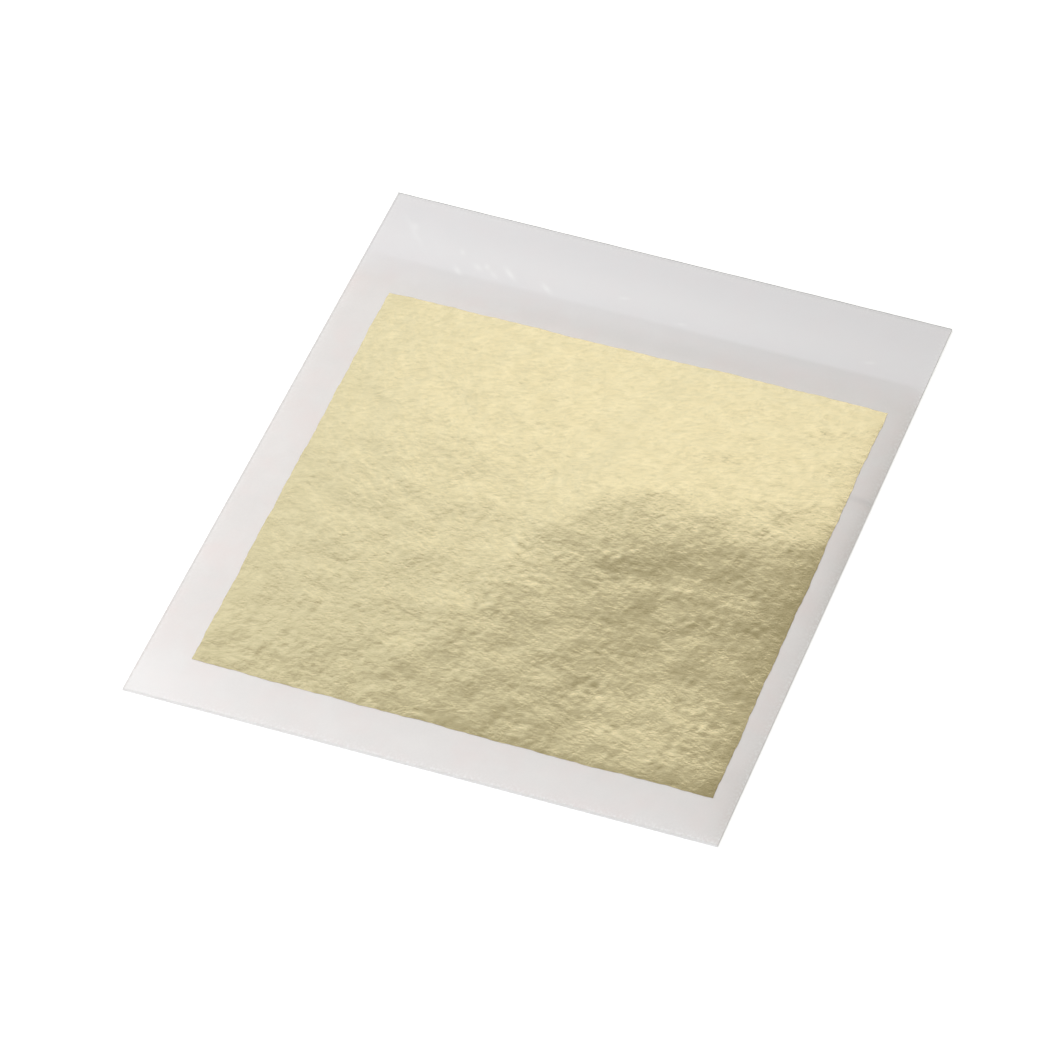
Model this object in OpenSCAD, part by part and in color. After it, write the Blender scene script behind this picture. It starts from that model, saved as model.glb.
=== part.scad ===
// A thin booklet of gold leaf, lying open at its first page.
// Square leaves lie on tissue pages that are padded together with glue at the head.
// X runs across the page and Y from its foot to its head. Z is up from the underside.
// The origin is the middle of the underside. Sizes are in millimetres.

/* [Pages] */
// Number of tissue pages, each with one leaf on it
page_count = 10; // [4:1:20]
// Width of a page, left to right
page_w = 90.7; // [90:0.1:120]
// Length of a page, foot to head
page_l = 108.9; // [100:0.1:140]
// Thickness of the tissue
page_t = 0.03; // [0.02:0.005:0.1]

/* [Gold leaf] */
// Side of a square leaf
leaf_side = 80; // [60:0.5:82]
// Thickness of a leaf, drawn thicker than the beaten metal so that it is a solid
leaf_t = 0.005; // [0.002:0.001:0.02]
// Bare tissue between the left edge of a page and its leaf
left_margin = 7.1; // [1:0.1:8]
// Bare tissue between the foot of a page and its leaf
foot_margin = 8.1; // [1:0.1:15]

/* [Backing] */
// Thickness of the plain sheet under the last page
backing_t = 0.1; // [0.05:0.01:0.5]

/* [Binding] */
// How far the padding glue stands out beyond the head ends of the pages
glue_t = 0.3; // [0.1:0.05:1]

/* [Hidden] */
// A page and its leaf take this much of the height
pitch = page_t + leaf_t;
// The glue ends level with the top of the first page
glue_h = backing_t + page_count * pitch - leaf_t;
booklet_l = page_l + glue_t;
left_x = -page_w / 2;
foot_y = -booklet_l / 2;
head_y = foot_y + page_l;

// Every page turns about the top edge of the glue, the line along X at head_y and glue_h.
// It is level with the first page, so no page meets the glue or the page under it on the way over.

// Two digits, so that the names sort in the order of the pages
function numbered(name, k) = str(name, "_", k < 10 ? "0" : "", k);
// Underside of page k, where page 1 is the first and lies on top
function page_z(k) = backing_t + (page_count - k) * pitch;

// The plain sheet that the booklet rests on
module backing_sheet() {
    color([0.90, 0.89, 0.87])
        translate([left_x, foot_y, 0])
            cube([page_w, page_l, backing_t]);
}

// Padding glue, brushed in a thin film over the stacked head ends
module binding_glue() {
    color([0.82, 0.82, 0.80])
        translate([left_x, head_y, 0])
            cube([page_w, glue_t, glue_h]);
}

// One tissue page
module page(k) {
    color([0.92, 0.91, 0.91])
        translate([left_x, foot_y, page_z(k)])
            cube([page_w, page_l, page_t]);
}

// One leaf, flat on its page, with the widest margin at the head
module leaf(k) {
    color([0.86, 0.80, 0.60])
        translate([left_x + left_margin, foot_y + foot_margin, page_z(k) + page_t])
            cube([leaf_side, leaf_side, leaf_t]);
}

backing_sheet();
binding_glue();
for (k = [1 : page_count]) {
    page(k);
    leaf(k);
}
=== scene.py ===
# %% [markdown]
# # A booklet of gold leaf, open at its first page
#
# Beaten gold is too thin to pick up by itself. It is sold between pages of tissue that are
# glued together along one edge. This lesson dresses such a booklet: ten pages of white
# tissue, a square leaf on each, a plain sheet underneath, and a film of glue at the head.
#
# The sizes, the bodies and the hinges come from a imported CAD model, the frame. Nothing in it
# is moved here. Each plain box of the frame is stood for by a surface worked out with numpy.

# %% Load the frame
import math

import bpy
import numpy as np
from mathutils import Matrix, Vector


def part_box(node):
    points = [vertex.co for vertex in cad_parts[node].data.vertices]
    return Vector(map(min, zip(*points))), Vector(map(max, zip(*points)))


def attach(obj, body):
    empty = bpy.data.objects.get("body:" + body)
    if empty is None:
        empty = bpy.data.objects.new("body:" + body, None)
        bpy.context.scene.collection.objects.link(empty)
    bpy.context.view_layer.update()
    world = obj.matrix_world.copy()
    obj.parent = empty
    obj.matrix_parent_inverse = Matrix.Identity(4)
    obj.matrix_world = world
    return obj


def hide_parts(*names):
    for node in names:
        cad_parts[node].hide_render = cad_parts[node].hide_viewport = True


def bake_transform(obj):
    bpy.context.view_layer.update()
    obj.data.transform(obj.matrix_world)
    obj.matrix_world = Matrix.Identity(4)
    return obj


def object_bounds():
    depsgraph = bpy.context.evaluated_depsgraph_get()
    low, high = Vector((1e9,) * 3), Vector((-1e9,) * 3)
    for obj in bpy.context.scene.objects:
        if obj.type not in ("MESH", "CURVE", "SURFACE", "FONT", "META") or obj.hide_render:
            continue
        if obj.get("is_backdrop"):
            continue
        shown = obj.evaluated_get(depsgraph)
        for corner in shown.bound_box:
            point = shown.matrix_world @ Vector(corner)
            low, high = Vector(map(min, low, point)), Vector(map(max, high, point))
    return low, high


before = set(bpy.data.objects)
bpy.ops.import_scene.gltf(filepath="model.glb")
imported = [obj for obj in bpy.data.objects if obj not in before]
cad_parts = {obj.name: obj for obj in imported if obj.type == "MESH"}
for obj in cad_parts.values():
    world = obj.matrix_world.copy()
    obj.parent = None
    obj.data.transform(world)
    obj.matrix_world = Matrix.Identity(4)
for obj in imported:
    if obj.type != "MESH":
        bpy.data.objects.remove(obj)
cad_low, cad_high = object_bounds()
page_count = sum(name.startswith("page_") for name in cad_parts)
print("pages in the frame:", page_count)

# %% [markdown]
# ## One set of sizes
#
# The booklet is thinner than a coin and wider than a hand, so millimetres read best. Every
# surface below is worked out in sheet coordinates: x from the left edge of a page, y from its
# foot, z up from the table. One function turns them into the metres of the frame.

# %% Sheet sizes, read from the frame
MM = 0.001
first_low, first_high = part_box("page_01")
leaf_low, leaf_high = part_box("leaf_01")
backing_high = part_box("backing_sheet")[1]
glue_low, glue_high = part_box("binding_glue")
sheet_corner = np.array([first_low.x, first_low.y, 0.0])

page_w = (first_high.x - first_low.x) / MM
page_l = (first_high.y - first_low.y) / MM
page_t = (first_high.z - first_low.z) / MM
leaf_side = (leaf_high.x - leaf_low.x) / MM
leaf_t = (leaf_high.z - leaf_low.z) / MM
left_margin = (leaf_low.x - first_low.x) / MM
foot_margin = (leaf_low.y - first_low.y) / MM
leaf_right = left_margin + leaf_side
leaf_head = foot_margin + leaf_side
print("box of the frame in mm:", [round((high - low) / MM, 3) for low, high in zip(cad_low, cad_high)])
print(f"page {page_w:.1f} x {page_l:.1f} x {page_t:.3f} mm, leaf {leaf_side:.1f} x {leaf_t:.3f} mm")


def to_frame(x, y, z):
    """Sheet millimetres to frame metres: scale by a thousandth, then add the sheet's corner."""
    return np.stack([x, y, z], -1).reshape(-1, 3) * MM + sheet_corner


# %% [markdown]
# ## The camera
#
# The photograph looks down on the sheet from its foot, a little from the right. A long lens
# keeps the sides almost parallel. The angles and the distance say where the camera stands,
# as a photographer would set up a stand, and the roll is the small tilt of the hand. All of
# them were fitted, until the corners of the sheet and of the leaf fell where the photograph
# has them. The camera's axes are then worked out from the angles.

# %% Camera
view_azimuth = math.radians(21.583)
view_elevation = math.radians(47.022)
view_roll = math.radians(-1.516)
view_distance = 860.36 * MM
aim_point = Vector((-1.11, -6.01, 0.445)) * MM

away = Vector(
    (
        math.sin(view_azimuth) * math.cos(view_elevation),
        -math.cos(view_azimuth) * math.cos(view_elevation),
        math.sin(view_elevation),
    )
)
level_right = Vector((0, 0, 1)).cross(away).normalized()
level_up = away.cross(level_right)
camera_right = level_right * math.cos(view_roll) + level_up * math.sin(view_roll)
camera_up = away.cross(camera_right)

lens = bpy.data.cameras.new("photo_lens")
lens.sensor_width = 36.0
lens.lens = 198.28
lens.clip_start = 0.01
lens.clip_end = 100.0
camera = bpy.data.objects.new("photo_camera", lens)
bpy.context.scene.collection.objects.link(camera)
camera.matrix_world = Matrix.Translation(aim_point + away * view_distance) @ Matrix(
    (camera_right, camera_up, away)
).transposed().to_4x4()
bpy.context.scene.camera = camera
print("camera at", [round(v, 4) for v in camera.location])

# %% [markdown]
# ## Short words for shader nodes
#
# A material is a small network of nodes. These helpers add a node and link what feeds it, so
# that each material below reads from top to bottom as a recipe.


# %% Add and link nodes
def node(tree, kind, feeds=None, **settings):
    """Adds one node. feeds gives its inputs by name or number: a socket is linked, a value set."""
    made = tree.nodes.new(kind)
    for name, value in settings.items():
        setattr(made, name, value)
    for name, value in (feeds or {}).items():
        if isinstance(value, bpy.types.NodeSocket):
            tree.links.new(value, made.inputs[name])
        else:
            made.inputs[name].default_value = value
    return made


def calc(tree, operation, *values):
    """One arithmetic step on numbers or sockets."""
    return node(tree, "ShaderNodeMath", dict(enumerate(values)), operation=operation).outputs[0]


def blank_material(name):
    """A material with its output only, and the tree to fill."""
    made = bpy.data.materials.new(name)
    made.use_nodes = True
    made.node_tree.nodes.clear()
    output = made.node_tree.nodes.new("ShaderNodeOutputMaterial")
    return made, made.node_tree, output


# %% Ramps, mixed colours and noise
def ramp(tree, value, start, end, low=0.0, high=1.0):
    """Stretches the values from start to end over low to high, and holds them there."""
    return node(tree, "ShaderNodeMapRange", {0: value, 1: start, 2: end, 3: low, 4: high}).outputs[0]


def mix_color(tree, share_of_b, a, b):
    """Mixes two colours, given as sockets or as (red, green, blue, 1)."""
    return node(tree, "ShaderNodeMix", {0: share_of_b, 6: a, 7: b}, data_type="RGBA").outputs[2]


def noise(tree, place, seed, scale, detail, roughness=0.5):
    """Cloudy noise from 0 to 1. The seed moves it along a fourth axis, so no two look alike."""
    feeds = {"Vector": place, "W": seed, "Scale": scale, "Detail": detail, "Roughness": roughness}
    return node(tree, "ShaderNodeTexNoise", feeds, noise_dimensions="4D").outputs["Fac"]


# %% [markdown]
# ## The table
#
# The booklet lies on a plain white table that runs out of the picture. A matt floor alone
# would be a pale grey. Brighter lamps would whiten it, but they would wash out the paper too.
# So the floor itself adds a share of plain white, only for what the camera sees of it
# directly or in a reflection. The rest comes from the lamps, and the booklet can shade that.

# %% Floor
floor_half = 30.0
floor_drop = 0.02 * MM
floor_mesh = bpy.data.meshes.new("table_top")
floor_signs = ((-1, -1), (1, -1), (1, 1), (-1, 1))
floor_points = [(x * floor_half, y * floor_half, -floor_drop) for x, y in floor_signs]
floor_mesh.from_pydata(floor_points, [], [(0, 1, 2, 3)])
floor = bpy.data.objects.new("table_top", floor_mesh)
bpy.context.scene.collection.objects.link(floor)
floor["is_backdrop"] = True
print("table", 2 * floor_half, "m wide")

# %% White of the table
floor_color = (0.82, 0.82, 0.82, 1)
floor_white = 0.56
table_white, tree, output = blank_material("table_white")
paths = node(tree, "ShaderNodeLightPath")
seen = calc(tree, "MAXIMUM", paths.outputs["Is Camera Ray"], paths.outputs["Is Glossy Ray"])
seen = calc(tree, "MAXIMUM", seen, paths.outputs["Is Transmission Ray"])
matt = node(tree, "ShaderNodeBsdfDiffuse", {"Color": floor_color})
glow = node(tree, "ShaderNodeEmission", {"Strength": calc(tree, "MULTIPLY", seen, floor_white)})
both = node(tree, "ShaderNodeAddShader", {0: matt.outputs[0], 1: glow.outputs[0]})
tree.links.new(both.outputs[0], output.inputs["Surface"])
floor_mesh.materials.append(table_white)
print("share of the table's white that it adds itself:", floor_white)

# %% [markdown]
# ## Light
#
# A gold leaf is a mirror with a fine grain, so what it shows is the room. The camera's view
# bounces off it towards the head of the booklet. A wide softbox stands there, and its upper
# edge crosses the leaf as a soft border from bright to dull gold. A narrow strip under that
# edge brightens the middle of the leaf. Paper shows no reflections, only how much light
# reaches it, so a close softbox at the left makes that side paler, a far one at the front
# lights all of it, and a pale room fills in the rest. Where the lamps stand, how large and
# how bright they are was found by trial, against the tones of the leaf and the paper in the
# photograph. Another room might give the same tones.
#
# A lamp's power says little, because it is shared out over the lamp's face. The helper takes
# how bright the face looks instead, where 1 is white.


# %% A softbox
def softbox(name, azimuth, elevation, distance, width, height, brightness, tint):
    """A flat lamp that faces the sheet. Its power is pi times its area times how bright it looks.

    The azimuth turns from +Y towards -X, and both angles are in degrees."""
    turn, rise = math.radians(azimuth), math.radians(elevation)
    level = math.cos(rise)
    towards = Vector((-math.sin(turn) * level, math.cos(turn) * level, math.sin(rise)))
    data = bpy.data.lights.new(name, "AREA")
    data.shape = "RECTANGLE"
    data.size = width
    data.size_y = height
    data.energy = math.pi * width * height * brightness
    data.color = tint
    lamp = bpy.data.objects.new(name, data)
    lamp.location = towards * distance
    lamp.rotation_mode = "QUATERNION"
    lamp.rotation_quaternion = towards.to_track_quat("Z", "Y")
    lamp.visible_camera = False
    bpy.context.scene.collection.objects.link(lamp)
    print(f"{name}: {width:.2f} x {height:.2f} m, {data.energy:.2f} W")


# %% The four lamps and the room
softbox(
    "head_softbox", azimuth=36, elevation=37, distance=0.70,
    width=0.80, height=0.36, brightness=0.60, tint=(0.98, 1.05, 1.18),
)
softbox(
    "strip_light", azimuth=10.5, elevation=44.8, distance=0.70,
    width=0.27, height=0.048, brightness=0.45, tint=(1.03, 0.90, 0.75),
)
softbox(
    "left_softbox", azimuth=105.6, elevation=56, distance=0.278,
    width=0.22, height=0.22, brightness=2.52, tint=(1.0, 0.99, 1.0),
)
softbox(
    "front_softbox", azimuth=179.5, elevation=35, distance=1.50,
    width=1.80, height=1.10, brightness=1.60, tint=(0.95, 1.01, 1.16),
)

pale_room = bpy.data.worlds.new("pale_room")
pale_room.use_nodes = True
background = pale_room.node_tree.nodes["Background"]
room_color = (0.33, 0.318, 0.262, 1)
background.inputs["Color"].default_value = room_color
background.inputs["Strength"].default_value = 1.0
bpy.context.scene.world = pale_room
bpy.context.scene.view_settings.view_transform = "Standard"
print("colour of the room:", room_color[:3])

# %% [markdown]
# ## How a stack of tissue lies
#
# Tissue weighs almost nothing, so the leaves between the pages hold the stack up like a thin
# pillow. The trimming knife pressed its edges down, and the glue holds it flat from the head
# as far as a crease, but the middle stands a fraction of a millimetre proud. Cloth simulation
# could puff it up, but a height that levels off away from each edge gives the same form with
# sizes that can be read, and the leaf needs slopes that are right to half a degree.


# %% A rise that levels off
def rise_from(distance, fall):
    """0 on an edge, levelling off at 1: one minus e to the minus distance over fall."""
    return 1 - np.exp(-np.maximum(distance, 0) / fall)


print("rise after one, two and three falls:", np.round(rise_from(np.arange(1, 4), 1), 2))


# %% Rough waves
def waves(x, y, seed, length, height, narrow=1.0, turn=0.0, count=200):
    """A rough field in mm: cosines whose directions and lengths follow a bell curve, added up.

    Two points further apart than length have unrelated heights, and height is the usual one.
    narrow is how much shorter the field is along a line turned by so many degrees from x."""
    cosine, sine = math.cos(math.radians(turn)), math.sin(math.radians(turn))
    along_line, off_line = x * cosine + y * sine, y * cosine - x * sine
    rng = np.random.default_rng(seed)
    turns = rng.normal(0, 1 / length, (2, count)) * np.array([[narrow], [1.0]])
    phases = rng.uniform(0, 2 * math.pi, count)
    total = np.zeros_like(x)
    for first, second, phase in zip(*turns, phases):
        total += np.cos(first * along_line + second * off_line + phase)
    return total * height * math.sqrt(2 / count)


# %% Cockles of the tissue
cockle_height = 0.014
cockle_length = 2.2
cockle_seed = 5


def cockles(x, y):
    """The small rough waves of damp-dried tissue, in mm."""
    return waves(x, y, cockle_seed, cockle_length, cockle_height)


along_foot = cockles(np.linspace(0, page_w, 400), np.zeros(400))
print("cockles of the tissue reach", round(float(np.abs(along_foot).max()), 3), "mm")

# %% [markdown]
# ## The swell
#
# A page that has been turned and laid back keeps a shallow swell. The dull part of the leaf in
# the photograph is taken for one, across the right half of the sheet. On the paper it can
# hardly be seen. On the leaf it decides the picture: where the gold rises towards the crest,
# it mirrors the dim wall above the softbox instead of the softbox. The swell is a formula,
# because the slope on either side of the crest is what sets the two tones, and each slope has
# its own value. The values were found in the same trial as the lamps.

# %% Swell
swell_height = 0.67
swell_y = 58.8
swell_wander = 0.42
wander_length = 9.0
swell_round = 7.7
foot_side_fall = 13.3
head_side_fall = 27.8
swell_left = 42.6
swell_left_y = 40.0
swell_lean = 0.28
swell_fade = 6.7
left_share = 0.18
# Two soft bells near the foot: x, y, reach across, reach along, height
foot_bells = ((82.0, 5.5, 20.0, 14.0, 0.37), (68.0, 22.5, 10.0, 22.0, -0.11))


def swell(x, y):
    """The swell in mm: e to the minus distance from its crest over that side's fall, its top round.

    The crest wanders like a sine. A hyperbolic tangent fades it out towards the left, along a
    border that leans with y. Bells, each a height times e to the minus squared distance, are added."""
    ahead = y - swell_y + swell_wander * np.sin(x / wander_length)
    fall = np.where(ahead < 0, foot_side_fall, head_side_fall)
    crest = np.exp(-(np.sqrt(ahead**2 + swell_round**2) - swell_round) / fall)
    border = swell_left + swell_lean * (y - swell_left_y)
    fade = 0.5 + 0.5 * np.tanh((x - border) / swell_fade)
    total = swell_height * crest * (left_share + (1 - left_share) * fade)
    for at_x, at_y, reach_x, reach_y, height in foot_bells:
        total += height * np.exp(-(((x - at_x) / reach_x) ** 2) - ((y - at_y) / reach_y) ** 2)
    return total


for x in (20.0, 50.0, 80.0):
    print(f"swell at x {x:.0f}:", [round(float(swell(x, y)), 2) for y in (10.0, 35.0, swell_y, 80.0)])

# %% [markdown]
# ## The loft of each page
#
# The pillow and the swell are added, and the rise from each edge takes them down to nothing
# there. The foot was trimmed a little out of square, so that edge is a sloping line. The pages
# lie on each other, so the lowest has a tenth of the loft and the first has all of it. The
# shares grow evenly, and every page takes its height from the same place on the table, so no
# page meets the next, even where the knife cut it a hair shorter.

# %% Loft of the pages
loft_height = 0.40
left_fall = 2.6
right_fall = 2.2
swell_right_fall = 1.5
foot_fall = 2.8
crease_y = 95.3
crease_fall = 3.1
foot_skew = 0.487


def foot_line(x):
    """Where the foot was cut, in mm along y: a straight slope, from minus the skew to plus it."""
    return foot_skew * (2 * x / page_w - 1)


def loft(x, y):
    """Height of the first page over a flat stack, in mm: pillow and swell, times the rises."""
    pillow = (loft_height + cockles(x, y)) * rise_from(page_w - x, right_fall)
    raised = swell(x, y) * rise_from(page_w - x, swell_right_fall)
    falls = rise_from(x, left_fall) * rise_from(y - foot_line(x), foot_fall)
    return (pillow + raised) * falls * rise_from(crease_y - y, crease_fall)


def share(k):
    """How much of the loft page k has, from 1 for the first page to a tenth for the last."""
    return (page_count + 1 - k) / page_count


print("loft in the middle of the sheet:", round(float(loft(page_w / 2, page_l / 2)), 3), "mm")

# %% [markdown]
# ## Sheets as closed surfaces
#
# Paper could be a flat plane with a thickness modifier. Here the top and the underside are
# two height maps on one grid of lines, joined by a wall all round, so the mesh is closed and
# its thickness is exact. The lines lie close together where the paper bends and far apart
# where it is flat, which keeps the sheet smooth with fewer faces.


# %% Grid lines
def lines(*stretches):
    """Joins stretches of (start, end, cells, power).

    Cells follow t to the power, which packs them at the start. A minus packs them at the end."""
    parts = []
    for start, end, cells, power in stretches:
        t = np.linspace(0, 1, cells + 1)
        t = t**power if power > 0 else 1 - (1 - t) ** -power
        parts.append(start + (end - start) * t[:-1])
    return np.append(np.concatenate(parts), stretches[-1][1])


print("packed at the start:", np.round(lines((0, 1, 5, 1.7)), 2))


# %% From mesh to piece
def link_smooth(name, mesh, sharp_angle):
    """Shades a mesh smoothly except across sharp edges, and puts it into the scene as a piece."""
    mesh.polygons.foreach_set("use_smooth", np.ones(len(mesh.polygons), bool))
    mesh.set_sharp_from_angle(angle=math.radians(sharp_angle))
    piece = bpy.data.objects.new(name, mesh)
    bpy.context.scene.collection.objects.link(piece)
    return piece


# %% Closed sheet
sheet_sharp_angle = 30


def closed_sheet(name, x, y, top, under, spot):
    """A mesh from grids of x, y and two heights: the top, the underside turned over, and a wall.

    spot is the (u, v) of each grid point, from 0 to 1 across and along the flat sheet. It becomes
    the UV map "sheet", so that a pattern stays where it is on a page that bends."""
    rows, columns = x.shape
    upper = np.arange(rows * columns).reshape(rows, columns)
    ring = np.concatenate([upper[0, :-1], upper[:-1, -1], upper[-1, :0:-1], upper[:0:-1, 0]])
    cells = np.stack([upper[:-1, :-1], upper[:-1, 1:], upper[1:, 1:], upper[1:, :-1]], -1)
    cells = cells.reshape(-1, 4)
    below = rows * columns
    walls = np.stack([ring, ring + below, np.roll(ring, -1) + below, np.roll(ring, -1)], -1)
    faces = np.concatenate([cells, cells[:, ::-1] + below, walls])

    mesh = bpy.data.meshes.new(name)
    mesh.vertices.add(2 * below)
    mesh.loops.add(faces.size)
    mesh.polygons.add(len(faces))
    places = np.concatenate([to_frame(x, y, top), to_frame(x, y, under)])
    mesh.vertices.foreach_set("co", places.astype(np.float32).ravel())
    mesh.loops.foreach_set("vertex_index", faces.astype(np.int32).ravel())
    mesh.polygons.foreach_set("loop_start", np.arange(0, faces.size, 4, dtype=np.int32))
    mesh.update(calc_edges=True)

    both_sides = np.tile(np.stack(spot, -1).reshape(-1, 2), (2, 1))
    layout = mesh.uv_layers.new(name="sheet")
    layout.data.foreach_set("uv", both_sides[faces.ravel()].astype(np.float32).ravel())
    return link_smooth(name, mesh, sheet_sharp_angle)


# %% [markdown]
# ## The tissue pages
#
# Each page is one thin sheet of white tissue, glued at the head and loose everywhere else.
# It is the frame's box of the same page, with its share of the loft added. The knife leaned
# outwards as it went down through the stack, and the pages shifted by a few hundredths of a
# millimetre afterwards, so their edges show as fine steps.
#
# A page turns about the glue. The last two millimetres before it have closer lines, where the
# paper would bend when it turns; nothing here bends it.

# %% Lines of a page
bend_length = 2.0
edge_packing = 1.7
margin_cells = 26
right_cells = 20
crease_cells = 14
bend_cells = 16
# Cells across the leaf, along it, and above the crease. A hidden page needs fewer
first_page_cells = (110, 80, 24)
other_page_cells = (50, 50, 10)


def page_lines(first):
    """The x and y lines of a page, packed at its loose edges and close together where it would bend."""
    across, along, head = first_page_cells if first else other_page_cells
    x = lines(
        (0, left_margin, margin_cells, edge_packing),
        (left_margin, leaf_right, across, 1),
        (leaf_right, page_w, right_cells, -edge_packing),
    )
    y = lines(
        (0, foot_margin, margin_cells, edge_packing),
        (foot_margin, leaf_head, along, 1),
        (leaf_head, crease_y, crease_cells, 1),
        (crease_y, page_l - bend_length, head, 1),
        (page_l - bend_length, page_l, bend_cells, 1),
    )
    return x, y


print("lines of the first page:", [len(line) for line in page_lines(True)])

# %% Trimmed edges
trim_play = 0.04
trim_seed = 40
foot_lean = 0.018


def trimmed(x, y, k, left_play=0.0, right_play=0.0, foot_play=0.0):
    """The place in mm of a point x, y of sheet k, counted from the top of the stack.

    Each cut edge moves by its play, the foot also to its sloping line less the lean of the knife.
    A shift fades evenly towards the opposite edge."""
    moved_foot = foot_line(x) - foot_lean * k + foot_play
    moved_x = x + left_play * (1 - x / page_w) + right_play * x / page_w
    return moved_x, y + moved_foot * (1 - y / page_l)


print("foot of the first page at its left corner:", round(float(trimmed(0.0, 0.0, 1)[1]), 3), "mm")


# %% Pages
def make_page(k):
    """Page k: the frame's underside plus its share of the loft, and the top one thickness higher."""
    x, y = np.meshgrid(*page_lines(k == 1))
    spot = (x / page_w, y / page_l)
    plays = np.random.default_rng(trim_seed + k).uniform(-trim_play, trim_play, 3)
    x, y = trimmed(x, y, k, *plays)
    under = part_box(f"page_{k:02d}")[0].z / MM + share(k) * loft(x, y)
    return closed_sheet(f"tissue_page_{k:02d}", x, y, under + page_t, under, spot)


pages = {k: make_page(k) for k in range(1, page_count + 1)}
print("faces of the first page:", len(pages[1].data.polygons))
print("faces of each other page:", len(pages[2].data.polygons))

# %% [markdown]
# ## The gold leaves
#
# A leaf is beaten to a tenth of a thousandth of a millimetre and cut to a square by hand. It
# clings to its page and follows every swell of it, but it never lies quite flat: it keeps
# fine crinkles, livelier in some patches than in others. A bump in the material alone would
# not break the leaf's outline or its reflections at low angles, so the crinkles wider than a
# third of a millimetre are in the mesh. Finer ones are left to the material.
#
# The crinkles only ever stand up from the page. Otherwise the leaf would dip into the paper.

# %% Crinkles
grain = 0.50
crinkle_height = 0.0052
crinkle_narrow = 1.4
crinkle_turn = 38
calm_length = 1.6
calm_spread = 0.35
calm_shift = 0.12
calm_waves = 60
calm_seed_step = 500


def crinkle(x, y, seed, length, room):
    """Crinkles of a leaf, in mm, bent by a hyperbolic tangent to stay from 0 to twice the room.

    A slower field, with e raised to it, makes some patches lively and leaves others calm."""
    field = waves(x, y, seed, length, crinkle_height, crinkle_narrow, crinkle_turn)
    calm = waves(x, y, seed + calm_seed_step, calm_length, calm_spread, count=calm_waves)
    lively = np.exp(calm - calm_shift)
    return room * (1 + np.tanh(field * lively / room))


along_leaf = crinkle(np.linspace(0, leaf_side, 400), np.zeros(400), 1, grain, 0.04)
crinkle_range = [round(float(height), 3) for height in (along_leaf.min(), along_leaf.max())]
print("crinkles along one line, lowest and highest in mm:", crinkle_range)

# %% Hand-cut edges
# Each sine: how many waves there are along the edge, and its height in mm
stray_waves = ((2, 0.06), (5, 0.05), (11, 0.04), (23, 0.03), (47, 0.02))


def stray(t, seed):
    """How far a leaf's edge strays, in mm, along t from 0 to 1: sines, the fast ones lower, summed."""
    rng = np.random.default_rng(seed)
    total = np.zeros_like(t)
    for count, height in stray_waves:
        total += height * np.sin(2 * math.pi * (count * t + rng.uniform(0, 1)))
    return total


left_stray = stray(np.linspace(0, 1, 400), 10)
print("the first leaf's left edge strays by up to", round(float(np.abs(left_stray).max()), 2), "mm")

# %% Corners of the leaves
# Each corner (u, v) of the first leaf, and how far it lies from a true square's, (x, y) in mm
first_corners = {
    (0, 0): (0.33, -0.55),
    (1, 0): (0.27, -0.40),
    (0, 1): (-0.10, -0.65),
    (1, 1): (0.07, 0.23),
}
corner_play = 0.35
corner_seed = 70


def corners_of(k):
    """The first leaf's corners as placed above. Any other leaf has its own small errors."""
    if k == 1:
        return first_corners
    plays = np.random.default_rng(corner_seed + k).uniform(-corner_play, corner_play, (4, 2))
    return dict(zip(first_corners, plays))


for corner, play in corners_of(2).items():
    print("corner", corner, "of the second leaf is off by", np.round(play, 2), "mm")

# %% Leaves
edge_power = 8
flat_share = 0.25
crinkle_seed = 90
# Cells along a side, length of a crinkle in mm, and half of the most that one may rise, in mm
first_leaf_detail = (216, grain, 0.040)
other_leaf_detail = (130, 0.8, 0.014)


def make_leaf(k):
    """Leaf k: a square patch, plus its corners' errors mixed by u and v, plus the strayed edges.

    A strayed edge fades inwards as a high power of u or v. The height is the page's top plus the
    crinkles, which fade out where the page has less than a small share of its loft."""
    cells, length, room = first_leaf_detail if k == 1 else other_leaf_detail
    u, v = np.meshgrid(np.linspace(0, 1, cells + 1), np.linspace(0, 1, cells + 1))
    x = left_margin + leaf_side * u
    y = foot_margin + leaf_side * v
    for (end_u, end_v), (shift_x, shift_y) in corners_of(k).items():
        weight = abs(1 - end_u - u) * abs(1 - end_v - v)
        x = x + weight * shift_x
        y = y + weight * shift_y
    x = x + (1 - u) ** edge_power * stray(v, 10 * k) + u**edge_power * stray(v, 10 * k + 1)
    y = y + (1 - v) ** edge_power * stray(u, 10 * k + 2) + v**edge_power * stray(u, 10 * k + 3)
    rise = share(k) * loft(x, y)
    lifted = np.minimum(1, rise / (flat_share * loft_height))
    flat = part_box(f"leaf_{k:02d}")[0].z / MM
    under = flat + rise + lifted * crinkle(x, y, crinkle_seed + k, length, room)
    return closed_sheet(f"gold_leaf_{k:02d}", x, y, under + leaf_t, under, (u, v))


leaves = {k: make_leaf(k) for k in range(1, page_count + 1)}
print("faces of the first leaf:", len(leaves[1].data.polygons))
print("faces of each other leaf:", len(leaves[2].data.polygons))

# %% [markdown]
# ## The backing sheet
#
# The last page needs something under it, or its underside would be the outside of the
# booklet. A plain sheet of stouter paper does that. It lies flat on the table, and the same
# cut trimmed it.

# %% Backing sheet
backing_top = backing_high.z / MM
x, y = np.meshgrid(np.linspace(0, page_w, 61), np.linspace(0, page_l, 73))
spot = (x / page_w, y / page_l)
x, y = trimmed(x, y, page_count + 1)
backing = closed_sheet("backing_paper", x, y, np.full_like(x, backing_top), np.zeros_like(x), spot)
print("backing", round(backing_top, 3), "mm thick")

# %% [markdown]
# ## The glue film
#
# Padding glue is brushed over the stacked edges and dries to a rubbery film. Its section is
# straight where it sticks to the pages and bulges on the outside, and its thickness wanders
# with the brush. That is a profile carried along a path: rows of points along the head, with
# the bulge scaled a little differently in each.

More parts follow.
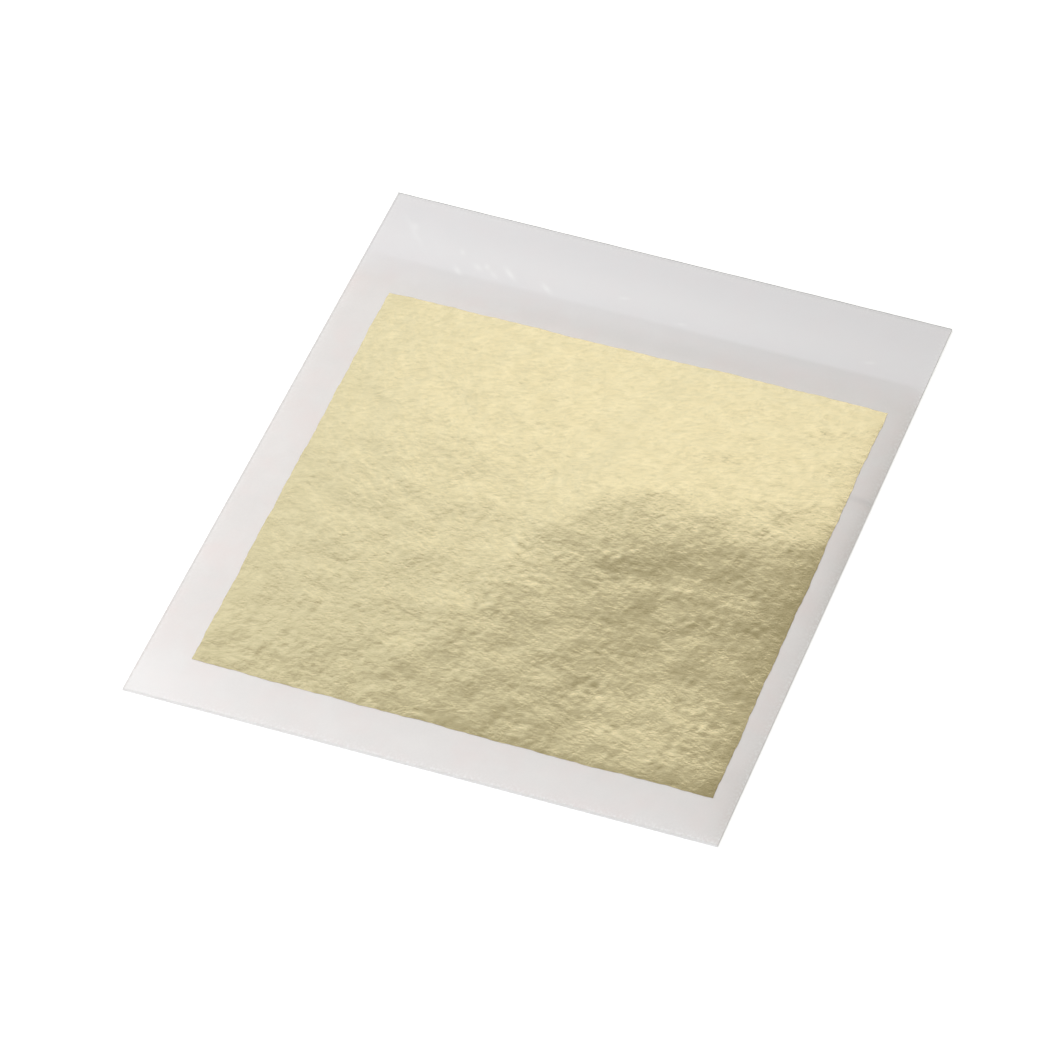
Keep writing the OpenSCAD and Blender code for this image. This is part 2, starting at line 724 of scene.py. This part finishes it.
# %% Glue film
glue_depth = (glue_high.y - glue_low.y) / MM
glue_top = glue_high.z / MM
glue_sharp_angle = 40
brush_thinning = 0.08
slow_waves = (0.31, 0.83)
rows_along = 161
arc_points = 13


def make_glue():
    """The film: outwards, the root of a cosine over half a turn, then straight back down.

    Along the head, two slow sines multiplied thin the film by up to twice the thinning."""
    along = np.linspace(0, page_w, rows_along)
    arc = np.linspace(-math.pi / 2, math.pi / 2, arc_points)
    out = np.append(np.sqrt(np.maximum(np.cos(arc), 0)), np.zeros(3))
    up = np.append(0.5 + 0.5 * np.sin(arc), np.linspace(0.75, 0.25, 3))
    brush = np.sin(along * slow_waves[0]) * np.sin(along * slow_waves[1] + 1)
    depth = glue_depth * (1 - brush_thinning + brush_thinning * brush)
    x, out = np.meshgrid(along, out, indexing="ij")
    y = page_l + depth[:, None] * out
    z = glue_top * np.broadcast_to(up, x.shape)

    ids = np.arange(x.size).reshape(x.shape)
    after = np.roll(ids, -1, axis=1)
    sides = np.stack([ids[:-1], after[:-1], after[1:], ids[1:]], -1).reshape(-1, 4)
    ends = [ids[0, ::-1].tolist(), ids[-1].tolist()]
    mesh = bpy.data.meshes.new("head_glue")
    mesh.from_pydata(to_frame(x, y, z).tolist(), [], sides.tolist() + ends)
    return link_smooth("head_glue", mesh, glue_sharp_angle)


glue = make_glue()
print("glue film", round(glue_depth, 2), "mm deep and", round(glue_top, 3), "mm high")

# %% [markdown]
# ## Patterns in millimetres
#
# Every sheet carries its own flat coordinates in the UV map, from 0 to 1. Multiplied by the
# sheet's size they are millimetres on the flat paper, so a pattern has its real scale and
# stays put when the page turns.


# %% Place on the sheet
def sheet_mm(tree, width, length):
    """The place on a sheet in mm, from its UV map."""
    spot = node(tree, "ShaderNodeUVMap", uv_map="sheet").outputs[0]
    size = {0: spot, 1: (width, length, 1.0)}
    return node(tree, "ShaderNodeVectorMath", size, operation="MULTIPLY").outputs[0]


# %% Make and place a group
def new_group(name, inputs, outputs):
    """An empty node group, its inputs and its outputs. An input given as None is a vector."""
    group = bpy.data.node_groups.new(name, "ShaderNodeTree")
    for label, value in inputs.items():
        kind = "NodeSocketVector" if value is None else "NodeSocketFloat"
        socket = group.interface.new_socket(label, in_out="INPUT", socket_type=kind)
        if value is not None:
            socket.default_value = value
    for label in outputs:
        group.interface.new_socket(label, in_out="OUTPUT", socket_type="NodeSocketFloat")
    return group, group.nodes.new("NodeGroupInput").outputs, group.nodes.new("NodeGroupOutput").inputs


def use_group(tree, group, place, **values):
    """Places a group in a material and sets its numbers. An underscore stands for a space."""
    feeds = {label.replace("_", " "): value for label, value in values.items()}
    return node(tree, "ShaderNodeGroup", {"Place": place, **feeds}, node_tree=group).outputs


# %% [markdown]
# ## The felt of the paper
#
# Paper is a felt of short fibres that settled out of water, so light catches it in soft
# clouds a few millimetres wide, with a warmer blush here and there and a grain of single
# fibres over both. Tissue and backing show the same felt in their own strengths, so it is
# one node group that both materials place.

# %% Felt of fibres
felt, given, result = new_group("paper_felt", {"Place": None, "Seed": 0.0}, ["Cloud", "Blush", "Grain"])
clouds = noise(felt, given["Place"], given["Seed"], scale=0.16, detail=3.0, roughness=0.6)
felt.links.new(clouds, result["Cloud"])
blush_seed = calc(felt, "ADD", given["Seed"], 7.0)
felt.links.new(noise(felt, given["Place"], blush_seed, scale=0.21, detail=2.0), result["Blush"])
fibres = noise(felt, given["Place"], given["Seed"], scale=2.4, detail=3.0, roughness=0.65)
felt.links.new(fibres, result["Grain"])
print("nodes of the felt:", len(felt.nodes))

# %% [markdown]
# ## Cut edges
#
# The cut edges carry painted light: the wall of the cut is painted almost white, and small
# flecks near it are painted lighter, as if frayed fibres caught the light. Both need the
# distance to the nearest cut edge, so a node group works it out once, and its Reach says how far the
# mark goes.

# %% Cut edges
cut_inputs = {"Place": None, "Width": 1.0, "Length": 1.0, "Reach": 1.0}
cut, given, result = new_group("cut_edge", cut_inputs, ["Edge"])
spot = node(cut, "ShaderNodeSeparateXYZ", {0: given["Place"]})
from_right = calc(cut, "SUBTRACT", given["Width"], spot.outputs["X"])
from_head = calc(cut, "SUBTRACT", given["Length"], spot.outputs["Y"])
near_x = calc(cut, "MINIMUM", spot.outputs["X"], from_right)
near_y = calc(cut, "MINIMUM", spot.outputs["Y"], from_head)
nearest = calc(cut, "MAXIMUM", calc(cut, "MINIMUM", near_x, near_y), 0.0)
# 1 on the edge, falling off as e to the minus distance over the reach
reaches = calc(cut, "DIVIDE", nearest, given["Reach"])
cut.links.new(calc(cut, "POWER", 1 / math.e, reaches), result["Edge"])
print("nodes of the cut edge:", len(cut.nodes))

# %% [markdown]
# ## Puckers of the glue
#
# Wet glue shrinks as it dries and pulls the tissue into small puckers near the crease. Each
# is a short line: a bell across it times a bell along it. Its height is a bump, and where it
# stands up its colour is painted lighter, a painted glint. One group draws one pucker, and a page
# adds up as many as it needs. A strength below zero is a dip, painted darker as painted shade.
# The same bell, much larger, also paints wide patches of painted light and painted shade, and
# thin lines of painted shade along two edges.

# %% One pucker
pucker_inputs = {
    "Place": None, "X": 0.0, "Y": 0.0, "Turn": 0.0, "Half Length": 1.0, "Half Width": 1.0,
}
pucker, given, result = new_group("glue_pucker", pucker_inputs, ["Fold"])
spot = node(pucker, "ShaderNodeSeparateXYZ", {0: given["Place"]})
off_x = calc(pucker, "SUBTRACT", spot.outputs["X"], given["X"])
off_y = calc(pucker, "SUBTRACT", spot.outputs["Y"], given["Y"])
turned = calc(pucker, "COSINE", given["Turn"]), calc(pucker, "SINE", given["Turn"])
along = [calc(pucker, "MULTIPLY", off, part) for off, part in zip((off_x, off_y), turned)]
across = [calc(pucker, "MULTIPLY", off, part) for off, part in zip((off_y, off_x), turned)]
along = calc(pucker, "DIVIDE", calc(pucker, "ADD", *along), given["Half Length"])
across = calc(pucker, "DIVIDE", calc(pucker, "SUBTRACT", *across), given["Half Width"])
# 1 in the middle, falling off as e to the minus both squared distances
squares = calc(pucker, "ADD", calc(pucker, "POWER", along, 2.0), calc(pucker, "POWER", across, 2.0))
pucker.links.new(calc(pucker, "POWER", 1 / math.e, squares), result["Fold"])
print("nodes of one pucker:", len(pucker.nodes))

# %% Where the puckers are
pucker_height = 0.03
pucker_seed = 60
# Each pucker: x, y, half its length, half its width, its turn in degrees, and its strength
first_puckers = (
    (15.0, 95.9, 1.0, 0.42, -45, 0.6),
    (17.7, 97.6, 0.9, 0.45, -35, 0.5),
    (19.0, 98.2, 0.6, 0.38, -60, 0.5),
    (20.6, 96.9, 1.1, 0.40, -40, 0.4),
    (22.9, 97.9, 1.4, 0.42, -43, 0.7),
    (29.3, 96.8, 1.2, 0.42, -40, 0.65),
    (14.3, 99.9, 0.6, 0.35, -50, 0.4),
    (41.3, 98.7, 0.8, 0.30, 15, 0.4),
    (51.5, 96.3, 0.7, 0.30, 10, 0.4),
    (81.2, 98.0, 0.9, 0.30, 15, 0.4),
    (5.3, 102.9, 0.9, 0.45, -50, 0.4),
    (5.4, 101.9, 3.4, 0.40, -48, 0.25),
    # a dip across the right margin: painted shade in a fold
    (89.0, 69.6, 3.0, 0.70, 2, -0.8),
)
# In the same order: patches of painted light and painted shade, then lines of painted shade along two
# edges
first_light_and_shade_patches = (
    (40.0, 99.3, 55.0, 4.4, 0, 0.34),
    (46.0, 90.6, 34.0, 2.2, 0, -0.45),
    (0.0, 2.0, 14.0, 9.0, 0, 0.45),
    (50.0, 2.5, 60.0, 5.0, 0, 0.20),
    (0.25, 54.0, 300.0, 0.13, 90, -1.2),
    (45.0, 108.7, 300.0, 0.20, 0, -0.5),
)


def puckers_of(k):
    """The first page's puckers, and patches of painted light and shade, as placed above. Any other page
    has four puckers by its crease.
    """
    if k == 1:
        return first_puckers + first_light_and_shade_patches
    low = (6, crease_y, 0.5, 0.25, -50, 0.3)
    high = (page_w - 6, crease_y + 5, 1.2, 0.35, 50, 0.8)
    return np.random.default_rng(pucker_seed + k).uniform(low, high, (4, 6)).tolist()


print("puckers and patches on the first page:", len(puckers_of(1)))


# %% Puckers added up
def pucker_sum(tree, place, puckers):
    """All the puckers of a page, added up: about 1 on the strongest, below 0 in a dip."""
    total = 0.0
    for x, y, half_length, half_width, turn, strength in puckers:
        shape = {"Turn": math.radians(turn), "Half_Length": half_length, "Half_Width": half_width}
        bell = use_group(tree, pucker, place, X=x, Y=y, **shape)["Fold"]
        total = calc(tree, "MULTIPLY_ADD", bell, strength, total)
    return total


# %% [markdown]
# ## Tissue and backing paper
#
# Both are matt, with a tone that wanders by a few hundredths. Tissue has one thing more:
# above the crease the glue soaked into it, which makes it smoother, cooler in colour and a
# little glossy. That is a second, clear layer over the paper, so the coat of the shader is
# used for it, with the soaked share as its weight.


# %% Soaked strip
soak_starts = crease_y - 5.0
soak_is_full = crease_y + 1.5
soak_waver = 1.6


def soaked_share(tree, place):
    """1 in the strip that the glue has soaked, 0 on the rest, with a soft and wavering border."""
    along = node(tree, "ShaderNodeSeparateXYZ", {0: place}).outputs["Y"]
    waver = noise(tree, place, seed=0.0, scale=0.35, detail=3.0)
    wavering = calc(tree, "MULTIPLY_ADD", waver, soak_waver, along)
    return ramp(tree, wavering, soak_starts, soak_is_full)


print("soaking begins near y", round(soak_starts, 1), "and is full near", round(soak_is_full, 1))

# %% Paper
paper_gloss = {"Roughness": 0.62, "Specular IOR Level": 0.35}
soaked_roughness = 0.38
soaked_color = (0.825, 0.82, 0.86, 1)
soaked_most = 0.6
# Painted light at the cut edges: lighter flecks near the edge, and the wall of the cut almost white
painted_fleck_light_color = (0.93, 0.92, 0.92, 1)
painted_fleck_light_reach = 0.5
painted_wall_light_color = (0.95, 0.94, 0.93, 1)
painted_wall_light_reach = 0.015
# Painted glints on the puckers and painted light in patches; painted shade in dips, patches and edge
# lines
painted_light_color = (0.93, 0.92, 0.93, 1)
painted_shade_color = (0.5, 0.5, 0.5, 1)
painted_shade_share = 0.3


def paper(name, low, high, seed, bump_mm, puckers=()):
    """Paper between two colours. Clouds and grain choose the tone, and painted light whitens its edge in
    flecks.

    Paper with puckers is glued tissue, so it gets the soaked strip too, and painted glints and
    painted shade from its puckers and patches. bump_mm is the height of its grain."""
    made, tree, output = blank_material(name)
    place = sheet_mm(tree, page_w, page_l)
    lie = use_group(tree, felt, place, Seed=seed)
    mottle = calc(tree, "MULTIPLY_ADD", lie["Grain"], 0.5, lie["Cloud"])
    tone = mix_color(tree, ramp(tree, mottle, 0.5, 1.0), (*low, 1), (*high, 1))
    blush = (high[0], low[1] * 0.985, low[2] * 0.98, 1)
    blushing = ramp(tree, lie["Blush"], 0.42, 0.72, high=0.5)
    tone = mix_color(tree, blushing, tone, blush)
    relief = calc(tree, "MULTIPLY", lie["Grain"], bump_mm)
    feeds = dict(paper_gloss)

    if puckers:
        soaked = calc(tree, "MULTIPLY", soaked_share(tree, place), soaked_most)
        tone = mix_color(tree, soaked, tone, soaked_color)
        feeds |= {"Coat Weight": soaked, "Coat Roughness": soaked_roughness}

    sizes = {"Width": page_w, "Length": page_l}
    # painted light: the wall of the cut almost white, and lighter flecks near the edge
    painted_wall_light = use_group(tree, cut, place, Reach=painted_wall_light_reach, **sizes)["Edge"]
    near_edge = use_group(tree, cut, place, Reach=painted_fleck_light_reach, **sizes)["Edge"]
    painted_fleck_light = calc(tree, "SUBTRACT", near_edge, painted_wall_light)
    painted_fleck_light = calc(tree, "MULTIPLY", painted_fleck_light, ramp(tree, lie["Grain"], 0.47, 0.60))
    tone = mix_color(tree, painted_fleck_light, tone, painted_fleck_light_color)
    tone = mix_color(tree, painted_wall_light, tone, painted_wall_light_color)

    if puckers:
        folds_and_painted_light = pucker_sum(tree, place, puckers)
        # painted highlight where puckers stand up and in light patches, painted shade in dips and edge
        # lines
        tone = mix_color(tree, calc(tree, "MAXIMUM", folds_and_painted_light, 0.0), tone, painted_light_color)
        painted_shade = calc(tree, "MULTIPLY", calc(tree, "MINIMUM", folds_and_painted_light, 0.0), -painted_shade_share)
        tone = mix_color(tree, painted_shade, tone, painted_shade_color)
        relief = calc(tree, "MULTIPLY_ADD", folds_and_painted_light, pucker_height, relief)

    bump = node(tree, "ShaderNodeBump", {"Strength": 1.0, "Distance": MM, "Height": relief})
    feeds |= {"Base Color": tone, "Normal": bump.outputs[0]}
    surface = node(tree, "ShaderNodeBsdfPrincipled", feeds)
    tree.links.new(surface.outputs[0], output.inputs["Surface"])
    return made


# %% Tissue and backing
tissue_colors = (0.78, 0.75, 0.742), (0.83, 0.80, 0.792)
backing_colors = (0.70, 0.69, 0.66), (0.76, 0.75, 0.72)
tissue_bump = 0.010
backing_bump = 0.020
tissue_seed_step = 4.0
backing_seed = 3.0
tissue = {}
for k in pages:
    seed = tissue_seed_step * (k - 1)
    tissue[k] = paper(f"white_tissue_{k:02d}", *tissue_colors, seed, tissue_bump, puckers_of(k))
board = paper("backing_paper", *backing_colors, backing_seed, backing_bump)
print("kinds of paper:", len(tissue) + 1)

# %% [markdown]
# ## Beaten gold
#
# Gold has no colour of its own but that of its reflections, so it is fully metallic, with a
# pale yellow as its colour and a low roughness. Under a magnifier a beaten leaf is pebbled:
# dents a few tenths of a millimetre wide, drawn out a little along the line of the beating.
# Slower noise makes the dents deep in one patch and shallow in the next. Here and there the
# metal is thinner, and such flecks are duller. All of that is one group, and each leaf
# places it with its own seed.


# %% Pebbled metal
def stretched(tree, place, turn, stretch):
    """The same place with its pattern drawn out by stretch along a line at turn degrees."""
    feeds = {"Vector": place, "Rotation": (0, 0, math.radians(turn)), "Scale": (stretch, 1, 1)}
    return node(tree, "ShaderNodeMapping", feeds, vector_type="TEXTURE").outputs[0]


pebble_inputs = {"Place": None, "Seed": 0.0}
pebble, given, result = new_group("beaten_pebble", pebble_inputs, ["Height", "Tone", "Fleck"])
dent_place = stretched(pebble, given["Place"], turn=-28, stretch=1.4)
dents = noise(pebble, dent_place, given["Seed"], scale=1.6, detail=4.0, roughness=0.62)
lively_seed = calc(pebble, "ADD", given["Seed"], 11.0)
lively = noise(pebble, given["Place"], lively_seed, scale=0.45, detail=1.0)
lively = ramp(pebble, lively, 0.35, 0.7, low=0.5, high=1.7)
centred = calc(pebble, "SUBTRACT", dents, 0.5)
pebble.links.new(calc(pebble, "MULTIPLY", centred, lively), result["Height"])
tone_seed = calc(pebble, "ADD", given["Seed"], 5.0)
tones = noise(pebble, given["Place"], tone_seed, scale=0.5, detail=5.0)
pebble.links.new(tones, result["Tone"])
fleck_seed = calc(pebble, "ADD", given["Seed"], 17.0)
fleck_place = stretched(pebble, given["Place"], turn=22, stretch=2.2)
flecks = noise(pebble, fleck_place, fleck_seed, scale=1.9, detail=3.0, roughness=0.6)
pebble.links.new(ramp(pebble, flecks, 0.46, 0.72), result["Fleck"])
print("nodes of the pebbled metal:", len(pebble.nodes))

# %% Gold
deep_gold = (0.82, 0.715, 0.442, 1)
pale_gold = (0.88, 0.773, 0.489, 1)
dull_gold = (0.76, 0.663, 0.40, 1)
dull_most = 0.9
dent_depth = 0.026 * MM
gold_roughness = 0.19
gold_seed_step = 2.3


def gold(k):
    """The gold of leaf k: a fine-grained mirror, its tone wandering a little, with dull flecks."""
    made, tree, output = blank_material(f"beaten_gold_{k:02d}")
    place = sheet_mm(tree, leaf_side, leaf_side)
    beaten = use_group(tree, pebble, place, Seed=gold_seed_step * k)
    tone = mix_color(tree, ramp(tree, beaten["Tone"], 0.3, 0.7), deep_gold, pale_gold)
    tone = mix_color(tree, calc(tree, "MULTIPLY", beaten["Fleck"], dull_most), tone, dull_gold)
    relief = {"Strength": 1.0, "Distance": dent_depth, "Height": beaten["Height"]}
    bump = node(tree, "ShaderNodeBump", relief)
    feeds = {"Base Color": tone, "Normal": bump.outputs[0], "Roughness": gold_roughness, "Metallic": 1.0}
    surface = node(tree, "ShaderNodeBsdfPrincipled", feeds)
    tree.links.new(surface.outputs[0], output.inputs["Surface"])
    return made


metal = {k: gold(k) for k in leaves}
print("kinds of gold:", len(metal))

# %% [markdown]
# ## Dried glue
#
# The film is a greyish, slightly glossy rubber with the marks of the brush in it. It rides on
# the fixed part of the booklet and never bends, so its noise can sit on object coordinates.

# %% Glue material
glue_low_color = (0.50, 0.50, 0.51, 1)
glue_high_color = (0.60, 0.60, 0.61, 1)
stroke_depth = 0.03 * MM
strokes_per_metre = 0.9 / MM
glue_roughness = 0.35
padding, tree, output = blank_material("padding_glue")
place = node(tree, "ShaderNodeTexCoord").outputs["Object"]
strokes = noise(tree, place, seed=0.0, scale=strokes_per_metre, detail=3.0)
tone = mix_color(tree, strokes, glue_low_color, glue_high_color)
bump = node(tree, "ShaderNodeBump", {"Strength": 1.0, "Distance": stroke_depth, "Height": strokes})
feeds = {"Base Color": tone, "Normal": bump.outputs[0], "Roughness": glue_roughness}
surface = node(tree, "ShaderNodeBsdfPrincipled", feeds)
tree.links.new(surface.outputs[0], output.inputs["Surface"])
print("nodes of the glue:", len(tree.nodes))

# %% [markdown]
# ## Joining the pieces to the frame
#
# In the frame every page is a body of its own that turns about the top edge of the glue, and
# each hangs on the next: turn page five, and pages one to four go with it. A rigid sheet
# would tear away from the glue at its underside, while real tissue is held there and bends over
# a millimetre or two. Here no page is hung on a body or blended: each keeps its place, with its
# transform applied to its mesh. A leaf lies clear of the bend and rides on its page's body.
# The backing and the glue hang on the root and don't move.


# %% Finish and stand-in
def join(piece, material, stands_for):
    """Gives a piece its material and hides the frame's solid that it stands for."""
    piece.data.materials.append(material)
    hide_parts(stands_for)


# %% Bodies
for k in pages:
    body = f"turning_page_{k:02d}"
    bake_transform(pages[k])
    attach(leaves[k], body)
    join(pages[k], tissue[k], f"page_{k:02d}")
    join(leaves[k], metal[k], f"leaf_{k:02d}")
for piece, material, stands_for, slot in (
    (backing, board, "backing_sheet", "backing"),
    (glue, padding, "binding_glue", "padding_glue"),
):
    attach(piece, "root")
    join(piece, material, stands_for)
print("pages joined:", len(pages))

# %% Count of triangles
triangles = {
    piece.name: sum(len(face.vertices) - 2 for face in piece.data.polygons)
    for piece in (*pages.values(), *leaves.values(), backing, glue)
}
print("triangles in all:", sum(triangles.values()), "and most in one piece:", max(triangles.values()))

# %% [markdown]
# ## The two boxes
#
# The looks must not change the booklet's size. The box of the frame was kept at the start,
# and the box of the finished pieces is set beside it. Only the loft may stand out: soft
# tissue rises by about a millimetre where the solids lie flat.

# %% Boxes and finish
seen_low, seen_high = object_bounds()
changes = zip((*seen_low, *seen_high), (*cad_low, *cad_high))
print("grown by, in mm:", [round((seen - cad) / MM, 3) for seen, cad in changes])
